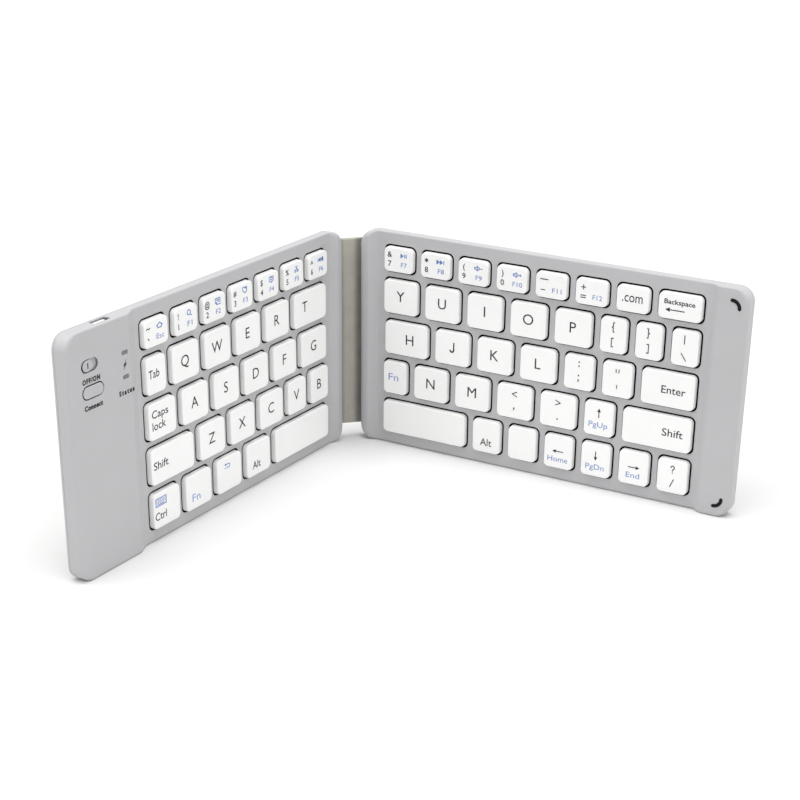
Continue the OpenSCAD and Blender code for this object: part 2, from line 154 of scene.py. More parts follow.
plainLook = {
    "metal": 0.0, "ior": 1.46, "coat": 0.0, "sheen": 0.0, "stretch": (1, 1, 1),
    "drift": 0.03, "tones": (0.3, 0.7), "cloudScale": 60, "cloudDetail": 4, "roughSpread": 0.05,
    "grainScale": 3000, "grainDetail": 3, "bump": 0.2, "relief": 0.05,
    "folds": None,  # near, far and depth of the painted shade beside the fold lines
    "cells": None, "cellWarp": 0.004, "creaseWidth": 0.25, "grainShare": 0.3,  # of a leather grain
}
looks = {
    "shell": {"colour": (0.486, 0.486, 0.496), "roughness": 0.5, "drift": 0.012, "grainScale": 2600,
              "bump": 0.5},
    # painted shade: near black, laid on walls and hollows deep inside openings where there is only shade
    "well": {"colour": (0.012, 0.012, 0.012), "roughness": 0.7, "drift": 0.2},
    "cap": {"colour": (0.92, 0.92, 0.912), "roughness": 0.42, "drift": 0.008, "grainScale": 3600,
            "bump": 0.12},
    "inkDark": {"colour": (0.01, 0.01, 0.011), "roughness": 0.6, "drift": 0.1},
    "inkBlue": {"colour": (0.12, 0.21, 0.51), "roughness": 0.5, "drift": 0.08},
    "leather": {"colour": (0.335, 0.32, 0.288), "roughness": 0.6, "drift": 0.05, "cloudScale": 220,
                "cells": 900, "bump": 0.6, "relief": 0.16, "sheen": 0.1},
    # the lining gets painted shade towards the fold lines
    "lining": {"colour": (0.5, 0.477, 0.424), "roughness": 0.72, "drift": 0.06, "cloudScale": 220,
               "grainScale": 1800, "bump": 0.4, "relief": 0.08, "sheen": 0.15, "folds": (1.2, 4.0, 0.5)},
    "rubber": {"colour": (0.01, 0.01, 0.01), "roughness": 0.75, "drift": 0.15, "bump": 0.3, "ior": 1.22},
    "steel": {"colour": (0.62, 0.63, 0.65), "roughness": 0.32, "metal": 1.0, "drift": 0.05,
              "stretch": (1, 1, 12), "grainScale": 900},
    "foil": {"colour": (0.55, 0.57, 0.6), "roughness": 0.38, "metal": 0.8, "drift": 0.06,
             "grainScale": 500, "bump": 0.4},
    "board": {"colour": (0.02, 0.12, 0.06), "roughness": 0.35, "drift": 0.15, "coat": 0.5},
    "tongue": {"colour": (0.8, 0.8, 0.78), "roughness": 0.4},
    "lightGuide": {"colour": (0.19, 0.195, 0.2), "roughness": 0.35, "drift": 0.1},
    "film": {"colour": (0.6, 0.35, 0.1), "roughness": 0.4, "drift": 0.08, "coat": 0.3},
}


def feed(tree, node, inputs):
    # Gives each input a value, or the output that it follows
    for socket, value in inputs.items():
        if isinstance(value, bpy.types.NodeSocket):
            tree.links.new(value, node.inputs[socket])
        else:
            node.inputs[socket].default_value = value


def addNode(tree, kind, inputs=None, **settings):
    node = tree.nodes.new("ShaderNode" + kind)
    for setting, value in settings.items():
        setattr(node, setting, value)
    feed(tree, node, inputs or {})
    return node


def newMaterial(name):
    made = bpy.data.materials.new(name)
    made.use_nodes = True
    return made, made.node_tree, made.node_tree.nodes["Principled BSDF"]


def surfaceMaterial(name, look):
    # A base colour that drifts between two tones, with a fine bump and a roughness that varies
    look = {**plainLook, **look}
    made, tree, shader = newMaterial(name)
    spot = addNode(tree, "TexCoord").outputs["Object"]
    stretched = addNode(tree, "Mapping", {"Vector": spot, "Scale": look["stretch"]}).outputs["Vector"]
    cloud, grain = (addNode(tree, "TexNoise", {"Vector": stretched, "Scale": look[kind + "Scale"],
                                               "Detail": look[kind + "Detail"]})
                    for kind in ("cloud", "grain"))
    tones = addNode(tree, "ValToRGB", {"Fac": cloud.outputs["Fac"]})
    for element, position, way in zip(tones.color_ramp.elements, look["tones"], (-1, 1)):
        element.position = position
        element.color = (*[min(1, c * (1 + way * look["drift"])) for c in look["colour"]], 1)
    colour = tones.outputs["Color"]
    if look["folds"]:  # painted shade, darker on both sides towards the fold lines
        near, far, depth = look["folds"]
        x = addNode(tree, "SeparateXYZ", {"Vector": spot}).outputs["X"]
        away = addNode(tree, "Math", {0: x}, operation="ABSOLUTE").outputs["Value"]
        dim = addNode(tree, "MapRange", {"Value": away, "From Min": near * mm, "From Max": far * mm,
                                         "To Min": 1, "To Max": depth}, interpolation_type="SMOOTHSTEP")
        colour = addNode(tree, "VectorMath", {"Vector": colour, "Scale": dim.outputs["Result"]},
                         operation="SCALE").outputs["Vector"]
    height = grain.outputs["Fac"]
    if look["cells"]:  # creases between the cells of a leather grain
        warp = addNode(tree, "MixRGB", {"Fac": look["cellWarp"], "Color1": stretched,
                                        "Color2": grain.outputs["Color"]}, blend_type="LINEAR_LIGHT")
        cells = addNode(tree, "TexVoronoi", {"Vector": warp.outputs["Color"], "Scale": look["cells"]},
                        feature="DISTANCE_TO_EDGE")
        crease = addNode(tree, "MapRange", {"Value": cells.outputs["Distance"],
                                            "From Max": look["creaseWidth"]}).outputs["Result"]
        height = addNode(tree, "Math", {0: height, 1: look["grainShare"], 2: crease},
                         operation="MULTIPLY_ADD").outputs["Value"]
    rough = addNode(tree, "MapRange", {"Value": cloud.outputs["Fac"],
                                       "To Min": look["roughness"] - look["roughSpread"],
                                       "To Max": look["roughness"] + look["roughSpread"]})
    bump = addNode(tree, "Bump", {"Height": height, "Strength": look["bump"],
                                  "Distance": look["relief"] * mm})
    feed(tree, shader, {"Base Color": colour, "Roughness": rough.outputs["Result"],
                        "Normal": bump.outputs["Normal"], "Metallic": look["metal"], "IOR": look["ior"],
                        "Coat Weight": look["coat"], "Sheen Weight": look["sheen"]})
    return made


materials = {name: surfaceMaterial(name, look) for name, look in looks.items()}
print("materials:", len(materials))


# Shapes: a dictionary gathers loops of points and the faces between them

def newShape():
    return {"points": [], "faces": [], "tones": [], "count": 0}


def addPoints(shape, points):
    start = shape["count"]
    shape["points"].append(points)
    shape["count"] += len(points)
    return start + np.arange(len(points))


def addFaces(shape, faces, tone=0):
    shape["faces"] += np.asarray(faces).tolist()
    shape["tones"] += [tone] * len(faces)


def addBand(shape, lower, upper, tone=0):
    # Quads between two closed loops of equally many points
    addFaces(shape, np.stack([lower, np.roll(lower, -1), np.roll(upper, -1), upper], axis=1), tone)


def addLoops(shape, loops, tones=None):
    # Closed loops of points, with a band from each to the next; gives the numbers of their points
    rings = [addPoints(shape, loop) for loop in loops]
    for lower, upper, tone in zip(rings[:-1], rings[1:], tones or [0] * len(loops)):
        addBand(shape, lower, upper, tone)
    return rings


def addFan(shape, loop, centre, tone=0):
    # Triangles from a closed loop to one point
    hub = addPoints(shape, np.asarray([centre], float))
    addFaces(shape, np.stack([loop, np.roll(loop, -1), np.repeat(hub, len(loop))], axis=1), tone)


def addTube(shape, loops, tones=None, ends=(0, 0)):
    # Closed loops as above, with a fan round the mean point of the first and the last
    rings = addLoops(shape, loops, tones)
    for i, tone in zip((0, -1), ends):
        addFan(shape, rings[i], np.mean(loops[i], axis=0), tone)


def atDepth(flat, depth):
    # An outline in (u, z) at one depth, or with a depth for each point
    return np.column_stack([flat, np.full(len(flat), depth)])


def atHeight(flat, z):
    # An outline in (u, depth) at one height
    return np.column_stack([flat[:, 0], np.full(len(flat), z), flat[:, 1]])


def roundRect(low, high, innerR, outerR, inset=0.0, marks=(), steps=6):
    # Outline in (u, z) with quarter circles at its corners, anticlockwise from its lower edge;
    # marks are places along u that get a point on both the lower and the upper edge
    u0, z0, u1, z1 = low[0] + inset, low[1] + inset, high[0] - inset, high[1] - inset
    a, b = innerR - inset, outerR - inset
    turn = np.linspace(0, quarter, steps + 1)
    c, s, marks = np.cos(turn), np.sin(turn), np.asarray(marks, float)
    stretch = [
        (marks, z0 + 0 * marks),
        (u1 - b + b * s, z0 + b - b * c),
        (u1 - b + b * c, z1 - b + b * s),
        (marks[::-1], z1 + 0 * marks),
        (u0 + a - a * s, z1 - a + a * c),
        (u0 + a - a * c, z0 + a - a * s),
    ]
    return np.concatenate([np.stack(part, axis=1) for part in stretch])


def about(middle, width, height):
    # Both corners of a rectangle round its middle
    low = (middle[0] - width / 2, middle[1] - height / 2)
    return low, (middle[0] + width / 2, middle[1] + height / 2)


def centredRect(middle, width, height, radius, inset=0.0, steps=6):
    # roundRect round its middle, with one corner radius
    return roundRect(*about(middle, width, height), radius, radius, inset, steps=steps)


def columns(markCount, steps=6):
    # Pairs of points of a roundRect that lie above each other: at its marks and its inner corners
    corner = steps + 1
    upper = markCount + 2 * corner
    pairs = [(i, upper + markCount - 1 - i) for i in range(markCount)]
    left = upper + markCount
    return pairs + [(left + 2 * corner - 1 - i, left + i) for i in range(corner)]


def inside(points, loop):
    # Even-odd rule for many points against one closed loop
    a, b = loop, np.roll(loop, -1, axis=0)
    x, y = points[:, :1], points[:, 1:]
    rise = np.where(a[:, 1] == b[:, 1], 1.0, b[:, 1] - a[:, 1])
    hit = ((a[:, 1] > y) != (b[:, 1] > y)) & (x < a[:, 0] + (y - a[:, 1]) * (b[:, 0] - a[:, 0]) / rise)
    return hit.sum(axis=1) % 2 == 1


def fillBetween(shape, outline, holes=(), chords=(), tone=0):
    # Delaunay triangles between an outline and its holes; each is (point numbers, (u, z) places)
    loops = [outline, *holes]
    places = np.concatenate([p for ids, p in loops])
    numbers = np.concatenate([ids for ids, p in loops])
    starts = np.cumsum([0] + [len(ids) for ids, p in loops])
    edges = [(a + i, a + (i + 1) % (b - a))
             for a, b in zip(starts[:-1], starts[1:]) for i in range(b - a)]
    mergeWithin = 1e-7
    found = delaunay_2d_cdt([Vector(p) for p in places], edges + list(chords), [], 0, mergeWithin)
    back = np.array([ids[0] for ids in found[3]])
    triangles = back[np.array(found[2])]
    middles = places[triangles].mean(axis=1)
    keep = inside(middles, outline[1])
    for ids, hole in holes:
        keep &= ~inside(middles, hole)
    addFaces(shape, numbers[triangles[keep]], tone)


def addPrism(shape, outline, low, high, tone=0):
    # A convex outline given thickness: outline is in (u, z), low and high are depths
    for ring in addLoops(shape, [atDepth(outline, low), atDepth(outline, high)], [tone]):
        addFaces(shape, np.stack([np.repeat(ring[:1], len(ring) - 2), ring[1:-1], ring[2:]], axis=1), tone)


def finalMesh(source):
    # A new mesh of what an object's modifiers, or its text, come to
    return bpy.data.meshes.new_from_object(source.evaluated_get(bpy.context.evaluated_depsgraph_get()))


def makePiece(name, shape, side, tones, body, replaced=(), sharp=35, weighted=True):
    # side 0 leaves the points where they are, already in metres
    points = np.concatenate(shape["points"])
    mesh = bpy.data.meshes.new(name)
    mesh.from_pydata((place(points, side) if side else points).tolist(), [], shape["faces"])
    mesh.polygons.foreach_set("material_index", np.array(shape["tones"], np.int32))
    tidy = bmesh.new()
    tidy.from_mesh(mesh)
    bmesh.ops.recalc_face_normals(tidy, faces=tidy.faces)
    tidy.to_mesh(mesh)
    tidy.free()
    for tone in tones:
        mesh.materials.append(materials[tone])
    piece = bpy.data.objects.new(name, mesh)
    bpy.context.scene.collection.objects.link(piece)
    dress(piece, sharp, weighted)
    if body:
        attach(piece, body)
    if replaced:
        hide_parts(*replaced)
    return piece


def dress(piece, sharp=35, weighted=True):
    # Smooth shading that keeps edges sharper than an angle, and flat faces flat beside roundings
    piece.data.shade_smooth()
    piece.data.set_sharp_from_angle(angle=math.radians(sharp))
    if weighted and not piece.modifiers:
        modifier = piece.modifiers.new("flatFaces", "WEIGHTED_NORMAL")
        modifier.keep_sharp = True


def cutAway(piece, shape, side):
    # Subtracts a closed shape from a piece
    cutter = makePiece("cutter", shape, side, [piece.data.materials[0].name], None)
    cutter.modifiers.clear()
    piece.modifiers.clear()
    cut = piece.modifiers.new("cut", "BOOLEAN")
    cut.operation, cut.solver, cut.object = "DIFFERENCE", "EXACT", cutter
    made = finalMesh(piece)
    piece.modifiers.clear()
    piece.data = made
    bpy.data.objects.remove(cutter)
    dress(piece)


# Frames and covers

shell = {
    "thin": 4.8, "ridge": 6.9,  # depths of the key area and of the raised end
    "cover": 1.6, "skin": 1.2, "wall": 1.5, "seam": 0.2,  # thicknesses, and the groove where the two meet
    "hingeR": 6.5, "outerR": 5.5, "steps": 10,  # corners seen from the front
    "hollowR": (1, 4),  # corners of the hollow, at the hinge and at the end
    "trim": {1: 1.3, -1: 0},  # how much shorter each half is
    "beadRun": 2.8, "beadDrop": 1.1,  # the bead along the hinge edge, rounded towards it
    "beadLand": 4.0, "beadEnd": 7.8, "beadWall": 3.2,  # its step down from and to, its wall inside
    "upperR": 0.6, "lowerR": 1.0, "beadR": 2.0, "endR": 2.0,  # rounding of the front's four edges
    "crease": math.radians(35),  # angle the upper and the end rounding leave to the wall
    "slope": {1: (1.7, 4.3), -1: (2.3, 6.1)},  # from the last key: start and run
    "beadMarks": (0.3, 0.2, 5),  # past the hinge corner, past the bead, and how many
    "slopeMarks": (-0.1, 1.03, 13),  # shares of the slope's run, and how many
    "hollowMark": 1.2, "underside": (0.5, -0.6),  # how far inwards the hollow follows the front
    # below lipDepth a window's wall is painted shade, black
    "windowClear": 0.65, "windowR": 2.3, "windowSteps": 5, "lipDepth": 0.22,
    "windowLip": 0.15, "lipTurns": (0, 0.5, 1.0, 1.5708),  # its rounding, in radians
    "frameSharp": 31,
    "backR": 1.4, "recess": 0.6, "recessInset": 4.7, "recessR": (0.1, 2.1),
    "recessFrom": (-3, -1),  # u and depth outside the cover where its cut starts
}
controls = {
    # lip: depth below which the walls of the control openings are painted shade, black
    "outerInset": 6.5, "switchDrop": 11.8, "pitch": 8.8, "height": 4.0, "lip": 0.4,
    "slotL": 7.8, "slotClear": (0.3, 0.4), "slotPocket": 3.1, "buttonL": 9.6, "buttonGap": 0.4,
    "lightInset": 27.4, "lightL": 3.0, "lightH": 1.4, "lightR": 0.4, "lightDrop": 0.5,
}
endU = halfWidth - controls["outerInset"]
switchZ = halfHeight - controls["switchDrop"]
buttonZ = switchZ - controls["pitch"]
buttonMiddle = (endU - controls["buttonL"] / 2, buttonZ)


def smooth(t):
    # 3tt - 2ttt between 0 and 1
    t = np.clip(t, 0, 1)
    return t * t * (3 - 2 * t)


def beadShare(u):
    # 1 on the bead, 0 on the key area
    return smooth((shell["beadEnd"] - u) / (shell["beadEnd"] - shell["beadLand"]))


def frontDepth(u, side):
    # Front surface: a quarter ellipse up to the bead, an S-shaped step down, and another up to
    # the raised end
    start, run = shell["slope"][side]
    roll = np.clip((shell["beadRun"] - u) / shell["beadRun"], 0, 1)
    rise = (shell["ridge"] - shell["thin"]) * (beadShare(u) + smooth((u - keyEnd[side] - start) / run))
    return shell["thin"] - shell["beadDrop"] * (1 - np.sqrt(1 - roll ** 2)) + rise


def outerEnd(side):
    return halfWidth - shell["trim"][side]


def halfOutline(side, inset, marks=()):
    # A half seen from the front
    high = (outerEnd(side), halfHeight)
    return roundRect((0, 0), high, shell["hingeR"], shell["outerR"], inset, marks, shell["steps"])


def halfEdge(share, side, marks):
    # One loop of the front edge's rounding: an arc of radius r from its crease to the front surface,
    # inwards along the way from the outline to itself inset by 1
    outer, inner = halfOutline(side, 0, marks), halfOutline(side, 1, marks)
    bead = beadShare(outer[:, 0])
    end = smooth((outer[:, 0] - outerEnd(side) + shell["outerR"]) / shell["outerR"])
    upper = outer[:, 1] > halfHeight / 2
    r = np.where(upper, shell["upperR"], shell["lowerR"])
    r = r + (shell["beadR"] - r) * bead + (shell["endR"] - r) * end
    crease = shell["crease"] * np.where(upper, 1, end) * (1 - bead)
    turn = crease + (quarter - crease) * share
    flat = outer + (inner - outer) * (r * (np.cos(crease) - np.cos(turn)))[:, None]
    return flat, frontDepth(flat[:, 0], side) - r * (1 - np.sin(turn))


def frameHoles(side):
    # (low, high, corner radius, front depth, depth to which its wall keeps its own colour, below which it is
    # painted shade,
    #  how much wider it is inside) of each window and opening
    clear, windowR, thin, lit = (shell[k] for k in ("windowClear", "windowR", "thin", "lipDepth"))
    for half, boxes in keys.values():
        if half == side:
            for u0, u1, z0, z1 in boxes:
                yield (u0 - clear, z0 - clear), (u1 + clear, z1 + clear), windowR, thin, lit, 0
    if side < 0:
        ridge, lip, pocket = shell["ridge"], controls["lip"], controls["slotPocket"]
        slotL, (longer, higher), gap = (controls[k] for k in ("slotL", "slotClear", "buttonGap"))
        height = controls["height"] + higher
        yield *about((endU - slotL / 2, switchZ), slotL + longer, height), height / 2, ridge, lip, pocket
        height = controls["height"] + 2 * gap
        yield *about(buttonMiddle, controls["buttonL"] + 2 * gap, height), height / 2, ridge, lip, 0
        length, height = controls["lightL"], controls["lightH"]
        for z in (switchZ - controls["lightDrop"], buttonZ):
            low = (halfWidth - controls["lightInset"] - length / 2, z - height / 2)
            yield low, (low[0] + length, low[1] + height), controls["lightR"], ridge, lip, 0


def frameShell(side, name):
    # Outer wall and rounding as loops of the outline, each window as loops down to the skin's
    # underside, and Delaunay triangles for the front, the underside and the rim on the cover
    shape = newShape()
    start, run = shell["slope"][side]
    seam, cover, wall, lip = (shell[k] for k in ("seam", "cover", "wall", "windowLip"))
    gap, past, count = shell["beadMarks"]
    marks = np.r_[np.linspace(shell["hingeR"] + gap, shell["beadEnd"] + past, count),
                  keyEnd[side] + start + run * np.linspace(*shell["slopeMarks"])]
    loops = [atDepth(halfOutline(side, inset, marks), depth)
             for inset, depth in ((seam, cover), (0, cover + seam))]
    loops += [atDepth(*halfEdge(share, side, marks)) for share in np.linspace(0, 1, len(roundTurns))]
    rings = addLoops(shape, loops)
    fronts, backs = [], []
    for low, high, corner, front, lit, pocket in frameHoles(side):
        levels = [(-lip * (1 - math.sin(t)), front - lip * (1 - math.cos(t)), 0) for t in shell["lipTurns"]]
        levels += [(0, front - lit, 0)]
        levels += [(-pocket, front - lit, 0)] if pocket else []
        # below its lit depth the wall is painted shade, black, down to the skin's underside
        levels += [(-pocket, front - shell["skin"], 1)]
        edges = []
        for inset, depth, tone in levels:
            flat = roundRect(low, high, corner, corner, inset, steps=shell["windowSteps"])
            edges.append((addPoints(shape, atDepth(flat, depth)), flat))
        for upper, lower, level in zip(edges[:-1], edges[1:], levels[1:]):
            addBand(shape, lower[0], upper[0], level[2])
        fronts.append(edges[0])
        backs.append(edges[-1])
    fillBetween(shape, (rings[-1], loops[-1][:, :2]), fronts, columns(len(marks), shell["steps"]))
    marks = marks[marks > shell["beadWall"] + shell["hollowMark"]]
    flat = roundRect((shell["beadWall"], wall), (outerEnd(side) - wall, halfHeight - wall), *shell["hollowR"],
                     marks=marks)
    above = flat[:, 0] + np.where(flat[:, 0] < halfWidth / 2, *shell["underside"])
    inner = addPoints(shape, atDepth(flat, frontDepth(above, side) - shell["skin"]))
    rim = addPoints(shape, atDepth(flat, cover))
    # the hollow's underside and its inner wall are painted shade, black, as well
    fillBetween(shape, (inner, flat), backs, columns(len(marks)), 1)
    addBand(shape, inner, rim, 1)
    fillBetween(shape, (rings[0], loops[0][:, :2]), [(rim, flat)])
    return makePiece(name + "Frame", shape, side, ["shell", "well"], name + "_half",
                     [name + "_top_frame"], shell["frameSharp"])


def bottomCover(side, name):
    # Loops of the outline round the back edge, closed by flat triangles, with the leather's recess
    # cut out
    shape, cutter = newShape(), newShape()
    r, seam, cover, edge = (shell[k] for k in ("backR", "seam", "cover", "recessInset"))
    levels = [(r * (1 - math.sin(t)), r * (1 - math.cos(t))) for t in roundTurns]
    levels += [(0, cover - seam), (seam, cover)]
    loops = [atDepth(halfOutline(side, inset), depth) for inset, depth in levels]
    rings = addLoops(shape, loops)
    for end in (0, -1):
        fillBetween(shape, (rings[end], loops[end][:, :2]))
    piece = makePiece(name + "Cover", shape, side, ["shell"], name + "_half",
                      [name + "_bottom_cover"])
    u, back = shell["recessFrom"]
    flat = roundRect((u, edge), (outerEnd(side) - edge, halfHeight - edge), *shell["recessR"])
    addPrism(cutter, flat, back, shell["recess"])
    cutAway(piece, cutter, side)


frames = {}
for side, name in halves:
    frames[side] = frameShell(side, name)
    bottomCover(side, name)
print("frames and covers made")


# Keys

cap = {
    "top": 6.6, "skirt": 4.55, "ceiling": 5.7, "corner": 1.9, "draft": 0.1, "roundR": 0.4, "dish": 0.12,
    "rim": 1.2, "markGap": 0.6, "marks": 5, "shrinks": (0.86, 0.66, 0.42, 0.2),
}


def capTop(u, box):
    # Depth of a cap's top: a shallow parabola across its width
    edge = cap["draft"] + cap["roundR"]
    t = np.clip((u - box[0] - edge) / (box[1] - box[0] - 2 * edge), 0, 1)
    return cap["top"] - 4 * cap["dish"] * t * (1 - t)


def addCap(shape, box):
    # Loops of one outline up the drafted side, round the upper edge, then shrunk towards the middle
    low, high, corner, r = (box[0], box[2]), (box[1], box[3]), cap["corner"], cap["roundR"]
    middle = np.array([(box[0] + box[1]) / 2, (box[2] + box[3]) / 2])
    marks = np.linspace(box[0] + corner + cap["markGap"], box[1] - corner - cap["markGap"], cap["marks"])
    loops = [atDepth(roundRect(low, high, corner, corner, inset, marks), cap["skirt"])
             for inset in (cap["rim"], 0)]
    for turn in roundTurns:
        flat = roundRect(low, high, corner, corner, cap["draft"] + r * (1 - math.cos(turn)), marks)
        sunk = (cap["top"] - capTop(flat[:, 0], box)) * math.sin(turn)
        loops.append(atDepth(flat, cap["top"] - r * (1 - math.sin(turn)) - sunk))
    for shrink in cap["shrinks"]:
        inner = middle + (flat - middle) * shrink
        loops.append(atDepth(inner, capTop(inner[:, 0], box)))
    rings = addLoops(shape, loops)
    addFan(shape, rings[-1], [*middle, capTop(middle[0], box)])
    roof = addPoints(shape, atDepth(loops[0][:, :2], cap["ceiling"]))
    addBand(shape, roof, rings[0])
    addFan(shape, roof, [*middle, cap["ceiling"]])


def pieceName(node, ending):
    # key_left_shift gives leftShift and the ending
    words = node.replace("key_", "").split("_")
    return words[0] + "".join(word.capitalize() for word in words[1:]) + ending


for node, (side, boxes) in keys.items():
    shape = newShape()
    for box in boxes:
        addCap(shape, box)
    makePiece(pieceName(node, "Cap"), shape, side, ["cap"], node, [node])
print("caps made:", len(keys))


# Lettering. A mark is (text or icon, x, z, height, ink, width), in millimetres from its key's middle;
# a height of 0 draws an icon or sign at its own size, its strokes width wide, and a width of 0
# keeps what a word or sign has. What a mark leaves out is 0, ink 1 and 0

lettering = {
    "capitals": 0.682, "stem": 0.098,  # of the typeface, for a size of 1
    "stemLeast": 0.16, "stemGrowth": 0.103,  # stems wanted, and how they grow with the height
    "relief": 0.02, "lift": 0.012, "stroke": 0.36, "iconStroke": 0.33, "blueWeight": -0.09,
    "sharp": 80,
    "standsOff": {1: 0, -1: -0.35},  # from its key's middle, on each half
}
glyphs = {}


def wordMesh(text, height, width=0, weight=0.0, spread=1.0):
    # Points and triangles of a word whose capitals are height tall, stems made lighter as it grows;
    # spread sets its letters further apart
    stem = lettering["stemLeast"] + lettering["stemGrowth"] * height + weight
    offset = round((stem * lettering["capitals"] / height - lettering["stem"]) / 2, 4)
    if (text, offset, spread) not in glyphs:
        curve = bpy.data.curves.new("word", "FONT")
        curve.body, curve.size, curve.resolution_u = text, 1.0, 3
        curve.extrude = 0.01  # only tells front from back, the relief replaces it
        curve.offset, curve.space_character = offset, spread
        source = bpy.data.objects.new("word", curve)
        bpy.context.scene.collection.objects.link(source)
        glyphs[text, offset, spread] = meshTriangles(finalMesh(source))
        bpy.data.objects.remove(source)
    points, triangles = glyphs[text, offset, spread]
    scale = height / lettering["capitals"]
    low, high = points.min(axis=0), points.max(axis=0)
    stretch = width / (scale * (high[0] - low[0])) if width else 1
    x = (points[:, 0] - (low[0] + high[0]) / 2) * scale * stretch
    z = (points[:, 1] - lettering["capitals"] / 2) * scale
    return np.column_stack([x, z, np.sign(points[:, 2]) * lettering["relief"]]), triangles


def strokeMesh(paths, width):
    # Each stretch between two points of a path becomes a flat bar, half a width longer at each end
    points, faces = [], []
    box = np.array([(0, 1, 2), (0, 2, 3), (4, 6, 5), (4, 7, 6), (0, 4, 5), (0, 5, 1), (1, 5, 6), (1, 6, 2),
                    (2, 6, 7), (2, 7, 3), (3, 7, 4), (3, 4, 0)])
    for path in paths:
        path = np.asarray(path, float)
        a, b = path[:-1], path[1:]
        along = (b - a) / np.maximum(np.linalg.norm(b - a, axis=1), 1e-9)[:, None] * width / 2
        across = np.stack([-along[:, 1], along[:, 0]], axis=1)
        flat = np.stack([a - along - across, b + along - across, b + along + across,
                         a - along + across], axis=1)
        for corners in flat:
            start = 8 * len(faces)
            points += [np.column_stack([corners, np.full(4, depth)]) for depth in
                       (-lettering["relief"], lettering["relief"])]
            faces.append(box + start)
    return np.concatenate(points), np.concatenate(faces)


def ringPath(x, y, r, start=0, end=360, steps=16):
    # Points on a circle from start to end, in degrees
    turn = np.radians(np.linspace(start, end, steps))
    return np.stack([x + r * np.cos(turn), y + r * np.sin(turn)], axis=1)


def arrowSign(reach, dx, dy, size=0.55, tip=0.1, length=1.6, spread=0.8, strokes=5):
    # A stroke through the middle, and a filled head as strokes fanning out from its tip
    x, y, a, b = (reach + tip) * dx, (reach + tip) * dy, reach * abs(dx), reach * abs(dy)
    head = [[(x, y), (x - size * length * dx + t * dy * size, y - size * length * dy + t * dx * size)]
            for t in np.linspace(-spread, spread, strokes)]
    return [[(-a, -b), (a, b)], *head]


def playPath(x, way=1, size=0.62, reach=0.7, top=0.95, strokes=9):
    # A filled triangle that points along x, as level strokes
    return [[(x - way * size * reach, y * size), (x + way * size * (reach - 2 * reach * abs(y)), y * size)]
            for y in np.linspace(-top, top, strokes)]


def dot(x, y, half=0.09):
    # Two short strokes, one above the other
    return [[(x - half, y + rise), (x + half, y + rise)] for rise in (-half, half)]


quieter = [[(-1.6, 0.3), (-1.1, 0.3), (-0.4, 0.85), (-0.4, -0.85), (-1.1, -0.3), (-1.6, -0.3), (-1.6, 0.3)],
           ringPath(-0.3, 0, 0.65, -50, 50, 6), [(0.9, 0), (1.6, 0)]]
icons = {
    "home": [[(-1.5, 0), (0, 0.95), (1.5, 0), (0.95, 0), (0.95, -0.8), (-0.95, -0.8), (-0.95, 0), (-1.5, 0)]],
    "find": [ringPath(-0.2, 0.25, 0.85), [(0.4, -0.35), (1.2, -1.05)]],
    "page": [[(-1.3, -0.4), (-1.3, 1.1), (1.3, 1.1), (1.3, -1.1), (-0.5, -1.1), (-1.3, -0.4)],
             [(-1.3, -0.4), (-0.5, -0.4), (-0.5, -1.1)], [(-0.7, 0.5), (0.7, 0.5)], [(0, 0), (0.7, 0)]],
    "copy": [[(-1.3, 1.1), (0.9, 1.1), (0.9, -0.3), (0.1, -1.0), (-1.3, -0.2), (-1.3, 1.1)],
             ringPath(0.2, 0, 0.75, -100, 100, 10)],
    "paste": [[(-1.2, 1), (-1.2, -0.5), (0, -1.1), (1.2, -0.5), (1.2, 1), (-1.2, 1)],
              [(-0.4, 0.6), (0.4, 0.6)], [(-0.5, 0.1), (0, -0.35), (0.7, 0.2)]],
    "cut": [ringPath(-0.7, -0.6, 0.4, steps=10), ringPath(0.7, -0.6, 0.4, steps=10),
            [(-0.45, -0.3), (0.5, 1.1)], [(0.45, -0.3), (-0.5, 1.1)]],
    "previous": [[(-1.75, -0.6), (-1.75, 0.6)], *playPath(-0.8, -1, 0.75), *playPath(0.6, -1, 0.75),
                 [(1.5, -0.6), (1.5, 0.6)]],
    "play": [*playPath(-0.7, 1, 0.7), [(0.5, -0.55), (0.5, 0.55)], [(1.15, -0.55), (1.15, 0.55)]],
    "next": [*playPath(-1.1, 1, 0.72), *playPath(0.3, 1, 0.72), [(1.4, -0.6), (1.4, 0.6)]],
    "quieter": quieter,
    "louder": [*quieter, [(1.25, -0.35), (1.25, 0.35)]],
    "board": [[(-2.9, -1.4), (-2.9, 1.4), (2.9, 1.4), (2.9, -1.4), (-2.9, -1.4)], [(-1.4, -0.9), (1.4, -0.9)],
              *[[(x - 0.1, y), (x + 0.1, y)] for y in (0.8, 0.25, -0.3) for x in np.linspace(-2.2, 2.2, 6)],
              [(-2.2, -0.9), (-2.1, -0.9)], [(2.1, -0.9), (2.2, -0.9)]],
    "hook": [[(-1.4, 0.65), (1.0, 0.65), (1.4, 0.35), (1.4, -0.35), (1.0, -0.65), (-0.4, -0.65)],
             [(-0.9, 1.0), (-1.4, 0.65), (-0.9, 0.3)], [(-1.4, -0.65), (-1.1, -0.65)]],
}
